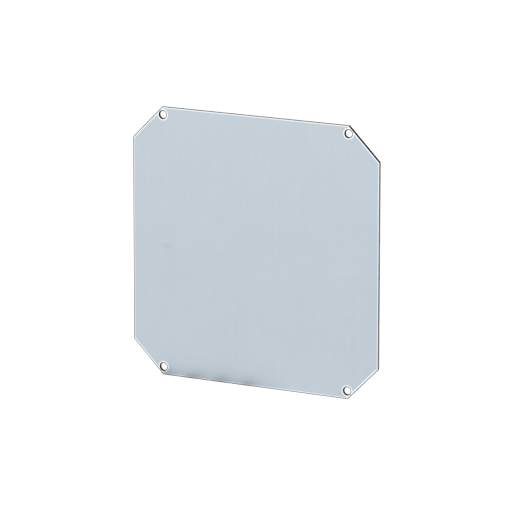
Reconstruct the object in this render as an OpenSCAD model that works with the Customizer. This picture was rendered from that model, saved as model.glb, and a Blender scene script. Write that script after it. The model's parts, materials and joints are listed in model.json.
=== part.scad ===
// Flat mounting plate of sheet steel with cut corners and four fixing holes.
// The back surface lies on z = 0 with the origin at its centre, +Z out of the front surface,
// +X to the plate's right and +Y to its top edge.

/* [Sheet] */
// Width of the plate, from its left edge to its right edge
plate_w = 250; // [150:10:400]
// Height of the plate, from its bottom edge to its top edge
plate_h = 250; // [150:10:400]
// Thickness of the sheet
sheet_t = 2; // [1:0.5:4]

/* [Corner cuts] */
// Length that each 45 degree corner cut takes off both of its edges
corner_cut = 30.5; // [10:0.5:45]

/* [Fixing holes] */
// Diameter of the fixing holes
hole_d = 7; // [4.5:0.5:9]
// From the top or bottom edge to the hole centres
hole_edge_inset = 7.5; // [7:0.5:20]
// From the end of the corner cut to the hole centres, along the top or bottom edge
hole_past_cut = 0.5; // [0:0.5:20]

/* [Sheared edge] */
// Width of the die roll, the band of front surface that the shear drew down along every cut
roll_w = 0.8; // [0.3:0.05:1]
// Depth of the die roll where it meets the cut face
roll_d = 0.2; // [0.05:0.01:0.25]
// Height of the torn band of the outer cut face, from the back surface up to the smooth land
tear_h = 0.7; // [0.3:0.1:0.8]
// How far the outer cut face slopes in over the torn band
tear_in = 0.06; // [0.02:0.01:0.15]

/* [Hidden] */
// Facets in a full turn of every curve
$fn = 96;
// How far a cutter runs clear of the surface that it leaves
clear = 1;
// Radius of the die roll: its arc is tangent to the front surface and ends roll_d below it
roll_r = (roll_w * roll_w + roll_d * roll_d) / (2 * roll_d);
// Distance between opposite corner cuts, measured across the plate on the diagonal
cut_span = (plate_w + plate_h - 2 * corner_cut) / sqrt(2);
// Length of the bars whose common part is the plate: longer than any diagonal of it
bar_len = plate_w + plate_h;
// Distances between the hole centres
hole_pitch_x = plate_w - 2 * (corner_cut + hole_past_cut);
hole_pitch_y = plate_h - 2 * hole_edge_inset;

// What the die roll takes off, drawn left of a cut face at x = 0: the corner above its arc
module roll_section() {
    difference() {
        translate([-roll_w, sheet_t - roll_d])
            square([roll_w + clear, roll_d + clear]);
        translate([-roll_w, sheet_t - roll_r])
            circle(roll_r);
    }
}

// Section of the sheet between two parallel cut faces that lie span apart
module sheet_section(span) {
    difference() {
        polygon([
            [-span / 2 + tear_in, 0],
            [span / 2 - tear_in, 0],
            [span / 2, tear_h],
            [span / 2, sheet_t],
            [-span / 2, sheet_t],
            [-span / 2, tear_h],
        ]);
        for (side = [0, 1])
            mirror([side, 0])
                translate([span / 2, 0])
                    roll_section();
    }
}

// A bar of that section, with its cut faces turned to face the given angle
module sheet_bar(span, angle) {
    rotate([0, 0, angle])
        rotate([90, 0, 0])
            translate([0, 0, -bar_len / 2])
                linear_extrude(bar_len)
                    sheet_section(span);
}

// The sheared blank: what the bars between opposite edges and opposite corner cuts share
module blank() {
    intersection() {
        sheet_bar(plate_w, 0);
        sheet_bar(plate_h, 90);
        sheet_bar(cut_span, 45);
        sheet_bar(cut_span, -45);
    }
}

// One pierced hole with the die roll round its front rim
module fixing_hole() {
    translate([0, 0, -clear])
        cylinder(d = hole_d, h = sheet_t + 2 * clear);
    rotate_extrude()
        translate([hole_d / 2, 0])
            mirror([1, 0])
                roll_section();
}

module mounting_plate() {
    color([0.76, 0.81, 0.84])
        difference() {
            blank();
            for (x = [-0.5, 0.5], y = [-0.5, 0.5])
                translate([x * hole_pitch_x, y * hole_pitch_y, 0])
                    fixing_hole();
        }
}

mounting_plate();
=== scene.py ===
"""Looks of a flat mounting plate: galvanised sheet steel with cut corners and four pierced holes.

The plate lies on a pale floor with its front surface up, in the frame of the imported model: +X to the
plate's right, +Y to its top edge, +Z out of its front surface. Lengths are in metres, and a name that ends
in _mm holds millimetres.
"""

import json
import logging
import math
from dataclasses import dataclass
from enum import Enum

import bmesh
import bpy
from mathutils import Matrix, Vector, noise
from mathutils.geometry import delaunay_2d_cdt


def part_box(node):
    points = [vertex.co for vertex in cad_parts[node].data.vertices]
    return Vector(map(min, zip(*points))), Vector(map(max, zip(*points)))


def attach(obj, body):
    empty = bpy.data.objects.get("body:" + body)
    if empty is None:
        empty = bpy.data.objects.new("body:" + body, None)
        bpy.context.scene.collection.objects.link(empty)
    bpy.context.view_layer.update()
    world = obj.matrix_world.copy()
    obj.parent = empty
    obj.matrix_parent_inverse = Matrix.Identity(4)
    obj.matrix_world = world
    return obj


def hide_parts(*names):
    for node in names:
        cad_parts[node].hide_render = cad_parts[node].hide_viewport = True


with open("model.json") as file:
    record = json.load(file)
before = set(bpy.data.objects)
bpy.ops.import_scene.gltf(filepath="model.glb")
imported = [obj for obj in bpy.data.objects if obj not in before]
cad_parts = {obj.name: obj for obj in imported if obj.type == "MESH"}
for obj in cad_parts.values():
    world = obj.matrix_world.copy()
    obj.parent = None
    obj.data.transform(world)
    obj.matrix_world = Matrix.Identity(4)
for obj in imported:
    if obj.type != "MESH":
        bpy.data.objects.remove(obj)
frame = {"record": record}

MM = 0.001
PLATE_NODE = "mounting_plate"
WHITE = "#FFFFFF"
# Rays that see the white of the floor and the backdrop as it is
SEEING_RAYS = ("Is Camera Ray", "Is Glossy Ray", "Is Transmission Ray")
MATH = "ShaderNodeMath"
VECTOR = "ShaderNodeVectorMath"
RANGE = "ShaderNodeMapRange"
MIX = "ShaderNodeMix"
# Where a range node takes its four limits, and a mix node its two colours
FROM_LOW, FROM_HIGH, TO_LOW, TO_HIGH = 1, 2, 3, 4
COLOUR_A, COLOUR_B, MIXED = 6, 7, 2
# Between which values a noise texture mostly stays
NOISE_LOW, NOISE_HIGH = 0.25, 0.75
# How close two points of a surface can be and still count as two
APART = 1e-9
# The triangulation that keeps every triangle, those in the holes too
ALL_TRIANGLES = 0

log = logging.getLogger(PLATE_NODE)

# What a shader input takes: a plain value, or the output that feeds it
Feed = bpy.types.NodeSocket | float


def linear(code: str) -> tuple[float, float, float, float]:
    """Turns an sRGB hex colour into the linear colour that a shader takes.

    Args:
        code: The colour as "#RRGGBB".

    Returns:
        Red, green, blue and an alpha of 1.
    """
    channels = (int(code[i : i + 2], 16) / 255 for i in (1, 3, 5))
    # The curve of the sRGB standard: a straight stretch near black and a power above it
    return (*(c / 12.92 if c <= 0.04045 else ((c + 0.055) / 1.055) ** 2.4 for c in channels), 1.0)


def add_node(
    tree: bpy.types.NodeTree, kind: str, inputs: dict | None = None, **settings: object
) -> bpy.types.Node:
    """Adds a node with its settings and links.

    Args:
        tree: The tree that the node goes into.
        kind: The node's type.
        inputs: What each input, by its name or place, holds: a value, or the output that feeds it.
        settings: The node's own properties.

    Returns:
        The new node.
    """
    node = tree.nodes.new(kind)
    for name, value in settings.items():
        setattr(node, name, value)
    for key, value in (inputs or {}).items():
        if isinstance(value, bpy.types.NodeSocket):
            tree.links.new(value, node.inputs[key])
        else:
            node.inputs[key].default_value = value
    return node


class CutKind(Enum):
    """How a cut face was made, which sets how clean it is, and how much painted shade its lip and faces
    carry.
    """

    # The right and top edges, with a light bloom of rust
    SHEARED = "sheared"
    # The left edge, whose lip carries the widest and darkest painted shade
    PARTED = "parted"
    # The bottom edge, whose lip carries more painted shade than the right and top edges
    TRIMMED = "trimmed"
    # Three of the corner cuts, drawn near black: painted shade
    NOTCHED = "notched"
    # The corner cut at the bottom right, drawn palest: a lit copy of the notched cuts
    PALE_CORNER = "pale_corner"
    # The holes, with walls drawn near black: painted shade
    PIERCED = "pierced"


class Band(Enum):
    """The bands that a cut in sheet metal shows, from the flat surface down."""

    FACE = "face"
    ROLL = "roll"
    LAND = "land"
    TEAR = "tear"


# A point of a ring: its place, the kind of the cut that follows it and whether it is a corner
RingPoint = tuple[Vector, CutKind, bool]


@dataclass(frozen=True)
class Hole:
    """One pierced hole.

    Attributes:
        centre: Its place on the plate.
        radius: Its radius.
        points: Points round it.
    """

    centre: Vector
    radius: float
    points: int = 72

    def ring(self, inset: float) -> list[RingPoint]:
        """Lays points round the hole, clockwise so that the metal lies to their left.

        Args:
            inset: How far out from the hole's wall.

        Returns:
            The points of the ring.
        """
        reach = self.radius + inset
        angles = (-math.tau * i / self.points for i in range(self.points))
        places = (self.centre + reach * Vector((math.cos(a), math.sin(a))) for a in angles)
        return [(place, CutKind.PIERCED, False) for place in places]


@dataclass(frozen=True)
class PlatePlan:
    """The plate's plan: a rectangle with its corners cut at 45 degrees and a hole beside each cut.

    Attributes:
        width: Along X.
        height: Along Y.
        thickness: Of the sheet.
        hole_place: Centre of the hole at the top right.
        hole_radius: Radius of the holes.
        corner_cut: What each corner cut takes off both edges.
        roll_width: Width of the die roll along every cut.
        roll_depth: Its depth at the cut face.
        tear_height: Height of the torn band of a cut face.
        tear_slope: How far an outer cut face slopes in over that band. A hole's wall is straight.
        step: Length of a face along the outline.
        cuts: How the four edges and the corners between them were cut, anticlockwise from the right edge.
    """

    width: float
    height: float
    thickness: float
    hole_place: Vector
    hole_radius: float
    corner_cut: float = 30.5 * MM
    roll_width: float = 0.8 * MM
    roll_depth: float = 0.2 * MM
    tear_height: float = 0.7 * MM
    tear_slope: float = 0.06 * MM
    step: float = 1.5 * MM
    cuts: tuple[CutKind, ...] = (
        CutKind.SHEARED,
        CutKind.NOTCHED,
        CutKind.SHEARED,
        CutKind.NOTCHED,
        CutKind.PARTED,
        CutKind.NOTCHED,
        CutKind.TRIMMED,
        CutKind.PALE_CORNER,
    )

    def holes(self) -> list[Hole]:
        """Lists the four holes."""
        signs = [Vector((x, y)) for x in (-1, 1) for y in (-1, 1)]
        return [Hole(self.hole_place * sign, self.hole_radius) for sign in signs]

    def corners(self, inset: float) -> list[Vector]:
        """Finds the eight corners of the outline moved in.

        Args:
            inset: How far in.

        Returns:
            The corners, anticlockwise from the right edge's lower end.
        """
        half_w = self.width / 2 - inset
        half_h = self.height / 2 - inset
        # Moved in as far as the edges, a cut at 45 degrees takes off a little less
        cut = self.corner_cut - inset * (2 - math.sqrt(2))
        right = [Vector((half_w, -half_h + cut)), Vector((half_w, half_h - cut))]
        top = [Vector((half_w - cut, half_h)), Vector((-half_w + cut, half_h))]
        return right + top + [-corner for corner in right + top]

    def ring(self, inset: float) -> list[RingPoint]:
        """Lays points along the outline moved in, as many for each inset.

        Args:
            inset: How far in.

        Returns:
            The points of the ring, anticlockwise.
        """
        points = []
        whole = self.corners(0.0)
        moved = self.corners(inset)
        for i, start in enumerate(moved):
            after = (i + 1) % len(moved)
            count = round((whole[after] - whole[i]).length / self.step)
            points += [(start.lerp(moved[after], j / count), self.cuts[i], j == 0) for j in range(count)]
        return points

    def holds(self, spot: Vector, margin: float) -> bool:
        """Tells whether a point lies on the plate, clear of every cut.

        Args:
            spot: The point.
            margin: How far it has to be from the cuts.

        Returns:
            True if it does.
        """
        corners = self.corners(margin)
        pairs = zip(corners, corners[1:] + corners[:1], strict=True)
        clear = all((spot - hole.centre).length > hole.radius + margin for hole in self.holes())
        return clear and all((b - a).cross(spot - a) > 0 for a, b in pairs)

    def section(
        self, slope: float, roll_steps: int = 6, tear_steps: int = 3
    ) -> list[tuple[float, float, Band]]:
        """Draws the section of a cut, from the back surface to the front.

        Args:
            slope: How far the cut face slopes in over its torn band.
            roll_steps: Faces across the die roll.
            tear_steps: Faces up the torn band.

        Returns:
            For each corner of the section how far it lies in from the cut face, its height and the band
            that ends there.
        """
        found = [(slope, 0.0, Band.FACE)]
        for i in range(1, tear_steps + 1):
            share = i / tear_steps
            found.append((slope * (1 - share), self.tear_height * share, Band.TEAR))
        radius = (self.roll_width**2 + self.roll_depth**2) / (2 * self.roll_depth)
        steepest = math.asin(self.roll_width / radius)
        for i in range(roll_steps + 1):
            angle = steepest * (1 - i / roll_steps)
            inset = self.roll_width - radius * math.sin(angle)
            height = self.thickness - radius * (1 - math.cos(angle))
            found.append((inset, height, Band.ROLL if i else Band.LAND))
        return found


@dataclass(frozen=True)
class Grain:
    """A random pattern with its real size.

    Attributes:
        size_mm: How long its marks are along X, Y and Z.
        swing: How far its values go to each side of 0.
        detail: How many finer layers it has.
    """

    size_mm: tuple[float, float, float]
    swing: float
    detail: float = 2.0

    def laid_on(
        self, tree: bpy.types.NodeTree, place: bpy.types.NodeSocket, ground: Feed
    ) -> bpy.types.NodeSocket:
        """Adds the pattern's values to others.

        Args:
            tree: The material's tree.
            place: The position in millimetres.
            ground: What they are added to.

        Returns:
            The output that holds the sum.
        """
        scale = tuple(1 / size for size in self.size_mm)
        scaled = add_node(tree, "ShaderNodeMapping", {"Vector": place, "Scale": scale})
        settings = {"Vector": scaled.outputs[0], "Scale": 1.0, "Detail": self.detail}
        marks = add_node(tree, "ShaderNodeTexNoise", settings).outputs["Fac"]
        limits = {FROM_LOW: NOISE_LOW, FROM_HIGH: NOISE_HIGH, TO_LOW: -self.swing, TO_HIGH: self.swing}
        spread = add_node(tree, RANGE, {"Value": marks, **limits}).outputs[0]
        return add_node(tree, MATH, {0: spread, 1: ground}, operation="ADD").outputs[0]


@dataclass(frozen=True)
class Crystals:
    """The zinc's crystals, each with its own tone.

    Attributes:
        size_mm: How wide one is.
        swing: How far its values go to each side of 0.
    """

    size_mm: float
    swing: float

    def laid_on(
        self, tree: bpy.types.NodeTree, place: bpy.types.NodeSocket, ground: Feed
    ) -> bpy.types.NodeSocket:
        """Adds the crystals' values to others, as Grain.laid_on does.

        Args:
            tree: The material's tree.
            place: The position in millimetres.
            ground: What they are added to.

        Returns:
            The output that holds the sum.
        """
        cells = add_node(tree, "ShaderNodeTexVoronoi", {"Vector": place, "Scale": 1 / self.size_mm})
        tones = add_node(tree, "ShaderNodeSeparateColor", {0: cells.outputs["Color"]}).outputs[0]
        limits = {TO_LOW: -self.swing, TO_HIGH: self.swing}
        spread = add_node(tree, RANGE, {"Value": tones, **limits}).outputs[0]
        return add_node(tree, MATH, {0: spread, 1: ground}, operation="ADD").outputs[0]


@dataclass(frozen=True)
class SheetFinish:
    """What the plate's finishes share: bare metal, with its patterns in millimetres.

    Attributes:
        plan: The plate's plan.
        name: The material's name.
    """

    plan: PlatePlan
    name: str

    def start(self) -> tuple[bpy.types.Material, bpy.types.Node, bpy.types.NodeSocket]:
        """Makes an empty metal material.

        Returns:
            The material, its shader and the position in millimetres.
        """
        material = bpy.data.materials.new(self.name)
        material.use_nodes = True
        tree = material.node_tree
        tree.nodes.clear()
        shader = add_node(tree, "ShaderNodeBsdfPrincipled", {"Metallic": 1.0})
        add_node(tree, "ShaderNodeOutputMaterial", {"Surface": shader.outputs[0]})
        spot = add_node(tree, "ShaderNodeTexCoord").outputs["Object"]
        place = add_node(tree, VECTOR, {0: spot, "Scale": 1 / MM}, operation="SCALE").outputs[0]
        return material, shader, place

    def inset(
        self, tree: bpy.types.NodeTree, place: bpy.types.NodeSocket, closer_mm: float = 0.0
    ) -> bpy.types.NodeSocket:
        """Works out how far a point lies in from the nearest cut, as the plate is alike on all four sides.

        Args:
            tree: The material's tree.
            place: The position in millimetres.
            closer_mm: How much closer the corner cuts and the holes are taken to be.

        Returns:
            The output that holds that distance in millimetres.
        """
        plan = self.plan
        half = (plan.width / 2 / MM, plan.height / 2 / MM, 0.0)
        flat = add_node(tree, VECTOR, {0: place, 1: (1.0, 1.0, 0.0)}, operation="MULTIPLY").outputs[0]
        folded = add_node(tree, VECTOR, {0: flat}, operation="ABSOLUTE").outputs[0]
        left = add_node(tree, VECTOR, {0: half, 1: folded}, operation="SUBTRACT").outputs[0]
        x, y, _ = add_node(tree, "ShaderNodeSeparateXYZ", {0: left}).outputs
        edge = add_node(tree, MATH, {0: x, 1: y}, operation="MINIMUM").outputs[0]
        both = add_node(tree, MATH, {0: x, 1: y}, operation="ADD").outputs[0]
        # On a corner cut, at 45 degrees, both distances add up to what it takes off an edge
        slant = {0: both, 1: math.sqrt(0.5), 2: -math.sqrt(0.5) * plan.corner_cut / MM - closer_mm}
        corner = add_node(tree, MATH, slant, operation="MULTIPLY_ADD").outputs[0]
        outer = add_node(tree, MATH, {0: edge, 1: corner}, operation="MINIMUM").outputs[0]
        centre = tuple(plan.hole_place.to_3d() / MM)
        away = add_node(tree, VECTOR, {0: folded, 1: centre}, operation="DISTANCE").outputs["Value"]
        reach = {0: away, 1: plan.hole_radius / MM + closer_mm}
        wall = add_node(tree, MATH, reach, operation="SUBTRACT").outputs[0]
        return add_node(tree, MATH, {0: outer, 1: wall}, operation="MINIMUM").outputs[0]


@dataclass(frozen=True)
class SkinPassedZinc(SheetFinish):
    """Galvanised sheet, hot-dipped and then skin-passed: rolls press its spangle flat and leave an even,
    matt, pale grey with a cool cast. The eye still finds faint clouds, a hint of crystals and the rolling
    direction.

    Attributes:
        colour: The zinc.
        rim_highlight_colour: A painted highlight: the zinc beside a cut, drawn near white for the light it
            catches there.
        stain_colour: What a faint stain at the left multiplies it by.
        stain_centre_mm: Where that stain is.
        stain_reach_mm: How far it goes each way.
        roughness: How matt the rolls leave it.
        rim_roughness: The same beside a cut.
        rim_width_mm: How far in from the die roll the painted highlight and the smoother zinc reach.
        rim_extra_mm: How much farther at the corner cuts and the holes.
        clouds: Slow changes of tone across the sheet.
        crystals: The pressed crystals, drawn at 2.5 mm: the real ones, under 1 mm, are too fine to show.
        roll_lines: Marks of the rolls, drawn 1.2 mm wide for the same reason.
        roll_texture: The matt texture of the rolls, as a height.
        texture_depth_mm: How deep that texture is.
    """

    name: str = "skin_passed_zinc"
    colour: str = "#BFC9D1"
    rim_highlight_colour: str = "#FAFCFD"
    stain_colour: str = "#F7F7F5"
    stain_centre_mm: tuple[float, float, float] = (-89.5, -4.0, 2.0)
    stain_reach_mm: tuple[float, float, float] = (11.0, 4.0, 2.0)
    roughness: float = 0.42
    rim_roughness: float = 0.3
    rim_width_mm: float = 1.0
    rim_extra_mm: float = 0.4
    clouds: Grain = Grain((60.0, 45.0, 50.0), swing=0.012, detail=3.0)
    crystals: Crystals = Crystals(size_mm=2.5, swing=0.014)
    roll_lines: Grain = Grain((1.2, 140.0, 20.0), swing=0.012)
    roll_texture: Grain = Grain((0.9, 0.9, 0.9), swing=0.5, detail=1.0)
    texture_depth_mm: float = 0.006

    def build(self) -> bpy.types.Material:
        """Makes the material.

        Returns:
            The material.
        """
        material, shader, place = self.start()
        tree = material.node_tree
        roll = self.plan.roll_width / MM
        limits = {FROM_LOW: roll, FROM_HIGH: roll + self.rim_width_mm, TO_LOW: 1.0, TO_HIGH: 0.0}
        near = self.inset(tree, place, self.rim_extra_mm)
        rim = add_node(tree, RANGE, {"Value": near, **limits}).outputs[0]
        # Painted highlight: beside every cut, and farther at the corner cuts and the holes, the zinc is
        # drawn near white
        colours = {COLOUR_A: linear(self.colour), COLOUR_B: linear(self.rim_highlight_colour)}
        zinc = add_node(tree, MIX, {0: rim, **colours}, data_type="RGBA").outputs[MIXED]
        tone = 1.0
        for pattern in (self.clouds, self.crystals, self.roll_lines):
            tone = pattern.laid_on(tree, place, tone)
        toned = add_node(tree, VECTOR, {0: zinc, "Scale": tone}, operation="SCALE").outputs[0]
        stain = {COLOUR_A: toned, COLOUR_B: linear(self.stain_colour)}
        seen = {"Factor": self.stain(tree, place), **stain}
        mixed = add_node(tree, MIX, seen, data_type="RGBA", blend_type="MULTIPLY").outputs[MIXED]
        tree.links.new(mixed, shader.inputs["Base Color"])
        limits = {TO_LOW: self.roughness, TO_HIGH: self.rim_roughness}
        matt = add_node(tree, RANGE, {"Value": rim, **limits}).outputs[0]
        tree.links.new(self.crystals.laid_on(tree, place, matt), shader.inputs["Roughness"])
        height = self.roll_texture.laid_on(tree, place, 0.0)
        bump = add_node(tree, "ShaderNodeBump", {"Height": height, "Distance": self.texture_depth_mm * MM})
        tree.links.new(bump.outputs[0], shader.inputs["Normal"])
        return material

    def stain(self, tree: bpy.types.NodeTree, place: bpy.types.NodeSocket) -> bpy.types.NodeSocket:
        """Draws the stain, soft towards its edges.

        Args:
            tree: The material's tree.
            place: The position in millimetres.

        Returns:
            The output that holds how strong it is.
        """
        offset = {0: place, 1: self.stain_centre_mm}
        from_centre = add_node(tree, VECTOR, offset, operation="SUBTRACT").outputs[0]
        shares = {0: from_centre, 1: self.stain_reach_mm}
        share = add_node(tree, VECTOR, shares, operation="DIVIDE").outputs[0]
        away = add_node(tree, VECTOR, {0: share}, operation="LENGTH").outputs["Value"]
        limits = {TO_LOW: 1.0, TO_HIGH: 0.0}
        return add_node(tree, RANGE, {"Value": away, **limits}, interpolation_type="SMOOTHSTEP").outputs[0]


@dataclass(frozen=True)
class DrawnZinc(SheetFinish):
    """Zinc on the die roll, where the shear drew it down and stretched it smooth. Beside the flat surface
    it is drawn paler than the flat zinc, a painted highlight, and at its lip, where it thins over the
    steel, it is drawn as a fine dark line of painted shade, bluish along the edges and nearly black at the
    notches and the holes.

    Attributes:
        lip_shade_colour: Painted shade on the lip: a dark line where the thinned zinc meets the steel.
        lip_mm: From the cut face to where the lip starts to fade and where it ends.
        colour: The stretched zinc, drawn paler than the flat zinc as a painted highlight.
        roughness: How smooth the stretching leaves it.
        unevenness: How that changes along a cut.
    """

    lip_shade_colour: str
    lip_mm: tuple[float, float]
    colour: str = "#E6ECEF"
    roughness: float = 0.28
    unevenness: Grain = Grain((6.0, 6.0, 6.0), swing=0.05)

    def build(self) -> bpy.types.Material:
        """Makes the material.

        Returns:
            The material.
        """
        material, shader, place = self.start()
        tree = material.node_tree
        limits = {FROM_LOW: self.lip_mm[0], FROM_HIGH: self.lip_mm[1]}
        inner = add_node(tree, RANGE, {"Value": self.inset(tree, place), **limits}).outputs[0]
        # Painted shade at the lip, and a painted highlight on the rest of the roll
        colours = {COLOUR_A: linear(self.lip_shade_colour), COLOUR_B: linear(self.colour)}
        zinc = add_node(tree, MIX, {0: inner, **colours}, data_type="RGBA").outputs[MIXED]
        tree.links.new(zinc, shader.inputs["Base Color"])
        rough = self.unevenness.laid_on(tree, place, self.roughness)
        tree.links.new(rough, shader.inputs["Roughness"])
        return material


@dataclass(frozen=True)
class SteelTone:
    """What the bare steel of one band of a cut is like.

    Attributes:
        name: The name of its finish.
        bare: The bare steel.
        wiped: The steel with zinc wiped over it.
        cover: How much of the band that zinc covers.
        roughness: How rough the band is.
    """

    name: str
    bare: str
    wiped: str
    cover: float
    roughness: float


@dataclass(frozen=True)
class ToolMarks:
    """What the tool leaves on bare steel.

    Attributes:
        grain: The marks, drawn about 0.5 mm wide as finer ones don't show.
        depth_mm: How deep they are.
    """

    grain: Grain
    depth_mm: float


# The land has drag lines through the sheet, and the torn band a coarse grain
DRAG_LINES = ToolMarks(Grain((0.5, 0.5, 6.0), swing=0.08), depth_mm=0.01)
TORN_GRAIN = ToolMarks(Grain((0.6, 0.6, 0.5), swing=0.12), depth_mm=0.08)


@dataclass(frozen=True)
class CutSteel(SheetFinish):
    """Bare steel of a cut face. The land is burnished by the tool and catches a soft light, with some zinc
    wiped over it. The torn band is rough and looks darker. In the notches and the holes both are drawn
    nearly black: painted shade.

    Attributes:
        tone: The steel's colours and roughness.
        marks: What the tool left on it.
        sheen: The tint of its sheen at a low angle, darkened in the notches and the holes as painted shade.
        patches: Where the zinc lies.
    """

    tone: SteelTone
    marks: ToolMarks
    sheen: str
    patches: Grain = Grain((24.0, 24.0, 24.0), swing=0.5)

    def build(self) -> bpy.types.Material:
        """Makes the material.

        Returns:
            The material.
        """
        material, shader, place = self.start()
        tree = material.node_tree
        grain = self.marks.grain
        cover = self.patches.laid_on(tree, place, grain.laid_on(tree, place, self.tone.cover))
        held = add_node(tree, "ShaderNodeClamp", {0: cover}).outputs[0]
        colours = {COLOUR_A: linear(self.tone.bare), COLOUR_B: linear(self.tone.wiped)}
        face = add_node(tree, MIX, {0: held, **colours}, data_type="RGBA").outputs[MIXED]
        tree.links.new(face, shader.inputs["Base Color"])
        height = grain.laid_on(tree, place, 0.0)
        relief = {"Height": height, "Distance": self.marks.depth_mm * MM}
        bump = add_node(tree, "ShaderNodeBump", relief)
        tree.links.new(bump.outputs[0], shader.inputs["Normal"])
        rough = add_node(tree, MATH, {0: height, 1: self.tone.roughness}, operation="ADD").outputs[0]
        tree.links.new(rough, shader.inputs["Roughness"])
        shader.inputs["Specular Tint"].default_value = linear(self.sheen)
        return material


@dataclass(frozen=True)
class CutLook:
    """What a kind of cut looks like, from its lip down.

    Attributes:
        lip_shade_colour: Painted shade on the lip: a dark line where the thinned zinc meets the steel.
        lip_mm: From the cut face to where the lip starts to fade and where it ends.
        land: Its smooth land.
        tear: Its torn band.
        sheen: The tint of the steel's sheen at a low angle.
    """

    lip_shade_colour: str
    lip_mm: tuple[float, float]
    land: SteelTone
    tear: SteelTone
    sheen: str = WHITE


# Painted shade: the darkened sheen of the notches and the holes
SHADED_SHEEN = "#707070"
# Painted shade: each lip colour draws a dark line along its cut, widest and darkest on the left edge,
# nearly black at the notches and the holes
CUT_LOOKS: dict[CutKind, CutLook] = {
    CutKind.SHEARED: CutLook(
        lip_shade_colour="#24485E",
        lip_mm=(0.38, 0.62),
        land=SteelTone("burnished_steel", "#5E4A3E", "#8C7A6C", cover=0.4, roughness=0.38),
        tear=SteelTone("torn_steel", "#3E2A20", "#563F34", cover=0.4, roughness=0.6),
    ),
    CutKind.PARTED: CutLook(
        lip_shade_colour="#0A2C4C",
        lip_mm=(0.78, 0.82),
        land=SteelTone("parted_steel", "#4E4947", "#7C7A79", cover=0.4, roughness=0.38),
        tear=SteelTone("part_torn_steel", "#2E2827", "#463F3D", cover=0.4, roughness=0.6),
    ),
    CutKind.TRIMMED: CutLook(
        lip_shade_colour="#1C3648",
        lip_mm=(0.62, 0.78),
        land=SteelTone("trimmed_steel", "#4E4947", "#7C7A79", cover=0.4, roughness=0.38),
        tear=SteelTone("trim_torn_steel", "#2E2827", "#463F3D", cover=0.4, roughness=0.6),
    ),
    # Painted shade: the notched corner cuts, drawn near black
    CutKind.NOTCHED: CutLook(
        lip_shade_colour="#16120F",
        lip_mm=(0.74, 0.8),
        land=SteelTone("notched_steel", "#30100C", "#3C1E18", cover=0.2, roughness=0.42),
        tear=SteelTone("notch_torn_steel", "#280C08", "#341812", cover=0.2, roughness=0.65),
        sheen=SHADED_SHEEN,
    ),
    # A lit copy of the notched cut: the same cut drawn pale for the light that falls on it
    CutKind.PALE_CORNER: CutLook(
        lip_shade_colour="#22404E",
        lip_mm=(0.4, 0.62),
        land=SteelTone("pale_corner_steel", "#6A6664", "#8C8A89", cover=0.4, roughness=0.35),
        tear=SteelTone("pale_corner_torn_steel", "#3E3836", "#5A5553", cover=0.4, roughness=0.55),
    ),
    # Painted shade: the holes' walls, drawn near black
    CutKind.PIERCED: CutLook(
        lip_shade_colour="#1E2022",
        lip_mm=(0.7, 0.8),
        land=SteelTone("pierced_steel", "#151211", "#2A2726", cover=0.3, roughness=0.35),
        tear=SteelTone("pierce_torn_steel", "#0E0A09", "#1C1716", cover=0.3, roughness=0.6),
        sheen=SHADED_SHEEN,
    ),
}


def cut_finish(kind: CutKind, band: Band, plan: PlatePlan) -> DrawnZinc | CutSteel:
    """Picks the finish of one band of a cut.

    Args:
        kind: How the cut was made.
        band: The die roll, the land or the torn band.
        plan: The plate's plan.

    Returns:
        The finish.
    """
    look = CUT_LOOKS[kind]
    if band is Band.ROLL:
        return DrawnZinc(plan, f"{kind.value}_drawn_zinc", look.lip_shade_colour, look.lip_mm)
    tone, marks = (look.land, DRAG_LINES) if band is Band.LAND else (look.tear, TORN_GRAIN)
    return CutSteel(plan, tone.name, tone, marks, look.sheen)


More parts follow.
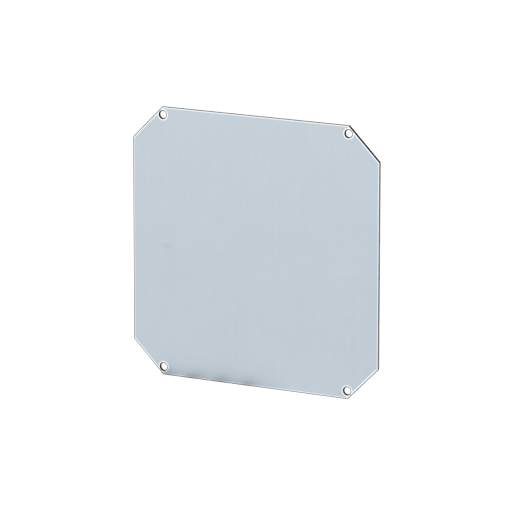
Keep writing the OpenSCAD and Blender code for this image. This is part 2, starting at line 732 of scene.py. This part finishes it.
@dataclass
class PlateMesh:
    """Builds the plate's mesh: its cut faces ring by ring, then its two surfaces.

    Attributes:
        plan: The plate's plan.
        tear_wander: How far the upper edge of the torn band wanders up and down.
        tear_wave: Length of a wave of that wandering.
        grid: Distance between the points across the surfaces.
    """

    plan: PlatePlan
    tear_wander: float = 0.16 * MM
    tear_wave: float = 4.0 * MM
    grid: float = 8.0 * MM

    def surfaces(self) -> list[tuple[CutKind | None, Band]]:
        """Lists the kinds of surface in the order of the mesh's materials."""
        bands = (Band.ROLL, Band.LAND, Band.TEAR)
        return [(None, Band.FACE), *((kind, band) for kind in CutKind for band in bands)]

    def build(self, name: str) -> bpy.types.Object:
        """Builds the mesh.

        Args:
            name: The new object's name.

        Returns:
            The object, with its mesh but without its materials.
        """
        mesh = bmesh.new()
        loops = [self.cut(mesh, self.plan, self.plan.tear_slope)]
        loops += [self.cut(mesh, hole, 0.0) for hole in self.plan.holes()]
        self.fill(mesh, [back for back, _ in loops], 0.0)
        self.fill(mesh, [front for _, front in loops], self.plan.thickness)
        bmesh.ops.recalc_face_normals(mesh, faces=mesh.faces)
        data = bpy.data.meshes.new(name)
        mesh.to_mesh(data)
        mesh.free()
        piece = bpy.data.objects.new(name, data)
        bpy.context.scene.collection.objects.link(piece)
        return piece

    def cut(
        self, mesh: bmesh.types.BMesh, path: PlatePlan | Hole, slope: float
    ) -> tuple[list[bmesh.types.BMVert], list[bmesh.types.BMVert]]:
        """Builds one cut face with its die roll.

        Args:
            mesh: The mesh that it goes into.
            path: What the cut follows.
            slope: How far the cut face slopes in over its torn band.

        Returns:
            Its ring of points on the back surface and its ring on the front surface.
        """
        order = self.surfaces()
        rings = []
        bands = []
        for inset, height, band in self.plan.section(slope):
            points = path.ring(inset)
            rings.append([mesh.verts.new((*spot, self.wandered(spot, height))) for spot, _, _ in points])
            bands.append(band)
            if len(rings) == 1:
                continue
            lower, upper = rings[-2:]
            for i, (_, kind, corner) in enumerate(points):
                j = (i + 1) % len(points)
                quad = mesh.faces.new((lower[i], lower[j], upper[j], upper[i]))
                quad.material_index = order.index((kind, band))
                quad.smooth = True
                mesh.edges.get((lower[i], upper[i])).smooth = not corner
                mesh.edges.get((lower[i], lower[j])).smooth = band is bands[-2]
        return rings[0], rings[-1]

    def wandered(self, spot: Vector, height: float) -> float:
        """Moves a point of the torn band's upper edge up or down a little.

        Args:
            spot: Its place on the plate.
            height: Its height.

        Returns:
            The height that it gets.
        """
        if not math.isclose(height, self.plan.tear_height):
            return height
        return height + noise.noise(spot.to_3d() / self.tear_wave) * self.tear_wander

    def fill(self, mesh: bmesh.types.BMesh, loops: list[list[bmesh.types.BMVert]], height: float) -> None:
        """Fills the flat surface between the outer ring and the rings of the holes.

        Args:
            mesh: The mesh that it goes into.
            loops: The outer ring and then the others.
            height: The surface's height.
        """
        verts = [vert for loop in loops for vert in loop]
        owners = [place for place, loop in enumerate(loops) for _ in loop]
        edges = []
        for loop in loops:
            start = len(edges)
            edges += [(start + i, start + (i + 1) % len(loop)) for i in range(len(loop))]
        across = int(self.plan.width / 2 / self.grid)
        up = int(self.plan.height / 2 / self.grid)
        for i in range(-across, across + 1):
            for j in range(-up, up + 1):
                # Every second row is half a step to the right, so that the triangles come out even
                spot = Vector(((i + 0.5 * (j % 2)) * self.grid, j * self.grid))
                if self.plan.holds(spot, self.grid):
                    verts.append(mesh.verts.new((*spot, height)))
                    owners.append(0)
        spots = [vert.co.xy for vert in verts]
        _, _, triangles, origins, _, _ = delaunay_2d_cdt(spots, edges, [], ALL_TRIANGLES, APART)
        for triangle in triangles:
            corners = [origins[i][0] for i in triangle]
            touched = {owners[i] for i in corners}
            in_hole = len(touched) == 1 and 0 not in touched
            if not in_hole:
                mesh.faces.new([verts[i] for i in corners])


@dataclass
class MountingPlate:
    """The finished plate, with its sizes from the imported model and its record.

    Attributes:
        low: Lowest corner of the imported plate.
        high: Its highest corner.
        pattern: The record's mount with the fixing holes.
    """

    low: Vector
    high: Vector
    pattern: dict

    def build(self) -> bpy.types.Object:
        """Builds the plate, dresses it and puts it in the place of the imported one.

        Returns:
            The plate's object.
        """
        size = self.high - self.low
        dims = self.pattern["dims"]
        hole_place = Vector((dims["spacing_x_mm"], dims["spacing_y_mm"])) * MM / 2
        plan = PlatePlan(size.x, size.y, size.z, hole_place, dims["hole_r_mm"] * MM)
        shape = PlateMesh(plan)
        piece = shape.build("galvanised_plate")
        for kind, band in shape.surfaces():
            finish = cut_finish(kind, band, plan) if kind else SkinPassedZinc(plan)
            piece.data.materials.append(finish.build())
        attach(piece, "root")
        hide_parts(PLATE_NODE)
        return piece


@dataclass(frozen=True)
class SoftBox:
    """A large soft lamp.

    Attributes:
        name: The lamp's name.
        place: Where its middle is.
        size: Its width and height.
        level: How bright its face is, where 1 is white.
        aim: What it faces.
    """

    name: str
    place: tuple[float, float, float]
    size: tuple[float, float]
    level: float
    aim: tuple[float, float, float] = (0.0, 0.0, 0.0)

    def build(self) -> bpy.types.Object:
        """Makes the lamp, unseen by the camera itself.

        Returns:
            The lamp's object.
        """
        data = bpy.data.lights.new(self.name, "AREA")
        data.shape = "RECTANGLE"
        data.size, data.size_y = self.size
        # The power that gives the lamp's face that level
        data.energy = self.level * math.pi * self.size[0] * self.size[1]
        lamp = bpy.data.objects.new(self.name, data)
        lamp.location = self.place
        lamp.rotation_mode = "QUATERNION"
        way = Vector(self.aim) - Vector(self.place)
        lamp.rotation_quaternion = way.to_track_quat("-Z", "Y")
        lamp.visible_camera = False
        bpy.context.scene.collection.objects.link(lamp)
        return lamp


@dataclass(frozen=True)
class Gauze:
    """A strip of see-through grey gauze that stands on the floor. The plate mirrors it as something darker,
    and the camera doesn't see it.

    Attributes:
        name: Its name.
        start: Where its left end stands.
        length: How long it is, along X.
        height: How high it is.
        fade_in: Over what length it grows dense from its left end.
        fade_out: Over what length it thins out to its right end.
        density: How much light it holds back.
        fold_pitch: Distance between its folds.
        fold_swing: How much denser it is on a fold and thinner between two.
        colour: The gauze.
    """

    name: str
    start: tuple[float, float]
    length: float
    height: float
    fade_in: float
    fade_out: float
    density: float
    fold_pitch: float
    fold_swing: float
    colour: str = "#3A4046"

    def build(self) -> bpy.types.Object:
        """Makes the gauze.

        Returns:
            Its object.
        """
        material = bpy.data.materials.new(f"{self.name}_gauze")
        material.use_nodes = True
        tree = material.node_tree
        tree.nodes.clear()
        spot = add_node(tree, "ShaderNodeTexCoord").outputs["Object"]
        x = add_node(tree, "ShaderNodeSeparateXYZ", {0: spot}).outputs[0]
        thin = self.length - self.fade_out
        rise = {"Value": x, FROM_LOW: 0.0, FROM_HIGH: self.fade_in, TO_HIGH: self.density}
        fall = {"Value": x, FROM_LOW: thin, FROM_HIGH: self.length, TO_LOW: 1.0, TO_HIGH: 0.0}
        soft = {"interpolation_type": "SMOOTHSTEP"}
        starts = add_node(tree, RANGE, rise, **soft).outputs[0]
        ends = add_node(tree, RANGE, fall, **soft).outputs[0]
        plain = add_node(tree, MATH, {0: starts, 1: ends}, operation="MULTIPLY").outputs[0]
        turns = add_node(tree, MATH, {0: x, 1: math.tau / self.fold_pitch}, operation="MULTIPLY").outputs[0]
        wave = add_node(tree, MATH, {0: turns}, operation="SINE").outputs[0]
        folds = {0: wave, 1: self.fold_swing, 2: 1.0}
        folded = add_node(tree, MATH, folds, operation="MULTIPLY_ADD").outputs[0]
        share = add_node(tree, MATH, {0: plain, 1: folded}, operation="MULTIPLY").outputs[0]
        clear = add_node(tree, "ShaderNodeBsdfTransparent")
        grey = add_node(tree, "ShaderNodeBsdfDiffuse", {"Color": linear(self.colour)})
        both = {0: share, 1: clear.outputs[0], 2: grey.outputs[0]}
        mixed = add_node(tree, "ShaderNodeMixShader", both)
        add_node(tree, "ShaderNodeOutputMaterial", {"Surface": mixed.outputs[0]})
        corners = [(0.0, 0.0), (self.length, 0.0), (self.length, self.height), (0.0, self.height)]
        made = stage_mesh(self.name, [(a, 0.0, b) for a, b in corners], material)
        made.location = (*self.start, 0.0)
        made.visible_camera = False
        return made


@dataclass
class Studio:
    """The pale floor, the white surroundings, the soft lamps and the gauze beside the plate.

    Attributes:
        floor_half: Half the side of the floor.
        floor_drop: How far the floor lies under the plate's back surface.
        floor_colour: The floor as the lamps light it.
        floor_lift: What is added for the rays that see the floor, so that it reads as white.
        sky_level: How brightly the surroundings light the plate and the floor.
        lamps: The soft lamps: one at the upper right, one above the upper left and one past the lower left.
        gauze: A low one, 1 mm beside the bottom edge, for the soft dark band at the plate's lower left.
    """

    floor_half: float = 6.0
    floor_drop: float = 0.02 * MM
    floor_colour: str = "#E6E6E6"
    floor_lift: float = 0.6
    sky_level: float = 0.8
    lamps: tuple[SoftBox, ...] = (
        SoftBox(name="key", place=(1.5, 1.3, 1.9), size=(0.9, 0.9), level=1.5),
        SoftBox(
            name="overhead", place=(-0.28, 0.24, 0.6), size=(0.9, 0.6), level=0.175, aim=(-0.28, 0.24, 0.0)
        ),
        SoftBox(name="fill", place=(-0.46, -0.5, 0.6), size=(0.6, 0.4), level=0.13, aim=(-0.46, -0.5, 0.0)),
    )
    gauze: Gauze = Gauze(
        name="low",
        start=(-0.1311, -0.126),
        length=0.164,
        height=0.02,
        fade_in=0.035,
        fade_out=0.055,
        density=0.47,
        fold_pitch=0.0285,
        fold_swing=0.38,
    )

    def build(self) -> None:
        """Builds all of it."""
        self.build_world()
        self.build_floor()
        for part in (*self.lamps, self.gauze):
            log.info("studio: %s", part.build().name)

    def seen(self, tree: bpy.types.NodeTree) -> bpy.types.NodeSocket:
        """Adds the test for rays that see the white as it is.

        Args:
            tree: The tree that it goes into.

        Returns:
            The output that is above 0 for such a ray.
        """
        path = add_node(tree, "ShaderNodeLightPath")
        camera, glossy, through = (path.outputs[name] for name in SEEING_RAYS)
        either = add_node(tree, MATH, {0: camera, 1: glossy}, operation="MAXIMUM").outputs[0]
        return add_node(tree, MATH, {0: either, 1: through}, operation="MAXIMUM").outputs[0]

    def build_world(self) -> None:
        """Makes the surroundings: white to the eye and in reflections, a plain level as light."""
        world = bpy.data.worlds.new("studio")
        world.use_nodes = True
        tree = world.node_tree
        tree.nodes.clear()
        levels = {"Value": self.seen(tree), TO_LOW: self.sky_level, TO_HIGH: 1.0}
        level = add_node(tree, RANGE, levels).outputs[0]
        light = add_node(tree, "ShaderNodeBackground", {"Color": linear(WHITE), "Strength": level})
        add_node(tree, "ShaderNodeOutputWorld", {"Surface": light.outputs[0]})
        bpy.context.scene.world = world

    def build_floor(self) -> None:
        """Makes the floor, which keeps the plate's shadow."""
        material = bpy.data.materials.new("matt_white_floor")
        material.use_nodes = True
        tree = material.node_tree
        tree.nodes.clear()
        matt = add_node(tree, "ShaderNodeBsdfDiffuse", {"Color": linear(self.floor_colour)})
        levels = {"Value": self.seen(tree), TO_LOW: 0.0, TO_HIGH: self.floor_lift}
        level = add_node(tree, RANGE, levels).outputs[0]
        lift = add_node(tree, "ShaderNodeEmission", {"Color": linear(WHITE), "Strength": level})
        both = add_node(tree, "ShaderNodeAddShader", {0: matt.outputs[0], 1: lift.outputs[0]})
        add_node(tree, "ShaderNodeOutputMaterial", {"Surface": both.outputs[0]})
        half = self.floor_half
        corners = [(-half, -half), (half, -half), (half, half), (-half, half)]
        floor = stage_mesh("floor", [(x, y, -self.floor_drop) for x, y in corners], material)
        log.info("stage: %s", floor.name)


def stage_mesh(
    name: str, corners: list[tuple[float, float, float]], material: bpy.types.Material
) -> bpy.types.Object:
    """Makes a flat piece of the studio, which isn't part of the plate.

    Args:
        name: Its name.
        corners: Its corners.
        material: What it is made of.

    Returns:
        The object.
    """
    data = bpy.data.meshes.new(name)
    data.from_pydata(corners, [], [tuple(range(len(corners)))])
    data.materials.append(material)
    made = bpy.data.objects.new(name, data)
    bpy.context.scene.collection.objects.link(made)
    return made


@dataclass(frozen=True)
class PhotoCamera:
    """The camera, at the photograph's viewing angle: a long lens from above the plate's upper right.

    Attributes:
        place_mm: Where it stands.
        aim_mm: What the middle of its frame shows.
        roll_deg: How far it is turned about its line of sight.
        focal_px: Its focal length in pixels of the frame.
        frame_px: Side of the frame in pixels.
        sensor_mm: Width of the sensor.
        far: How far it sees.
    """

    place_mm: tuple[float, float, float] = (1767.79, 858.7, 3343.49)
    aim_mm: tuple[float, float, float] = (3.09, -4.54, 2.0)
    roll_deg: float = 0.072
    focal_px: float = 4305.0
    frame_px: float = 515.0
    sensor_mm: float = 36.0
    far: float = 50.0

    def build(self) -> bpy.types.Object:
        """Makes the camera, with the plate's +Y upright in its frame.

        Returns:
            The camera's object.
        """
        data = bpy.data.cameras.new("camera")
        data.sensor_width = self.sensor_mm
        data.lens = self.focal_px / self.frame_px * self.sensor_mm
        data.clip_end = self.far
        camera = bpy.data.objects.new("camera", data)
        back = (Vector(self.place_mm) - Vector(self.aim_mm)).normalized()
        right = Vector((0.0, 1.0, 0.0)).cross(back).normalized()
        turned = Matrix((right, back.cross(right), back)).transposed()
        roll = Matrix.Rotation(math.radians(self.roll_deg), 3, "Z")
        camera.matrix_world = Matrix.Translation(Vector(self.place_mm) * MM) @ (turned @ roll).to_4x4()
        bpy.context.scene.collection.objects.link(camera)
        bpy.context.scene.camera = camera
        return camera


def main() -> None:
    """Builds the camera, the plate and the studio."""
    logging.basicConfig(level=logging.INFO, format="%(name)s: %(message)s")
    bpy.context.scene.view_settings.view_transform = "Standard"
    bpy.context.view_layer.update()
    log.info("camera: %s", PhotoCamera().build().name)
    mounts = {mount["name"]: mount for mount in frame["record"]["mounts"]}
    plate = MountingPlate(*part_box(PLATE_NODE), mounts["fixing_holes"]).build()
    log.info("piece: %s, %d faces", plate.name, len(plate.data.polygons))
    Studio().build()


if __name__ == "__main__":
    main()
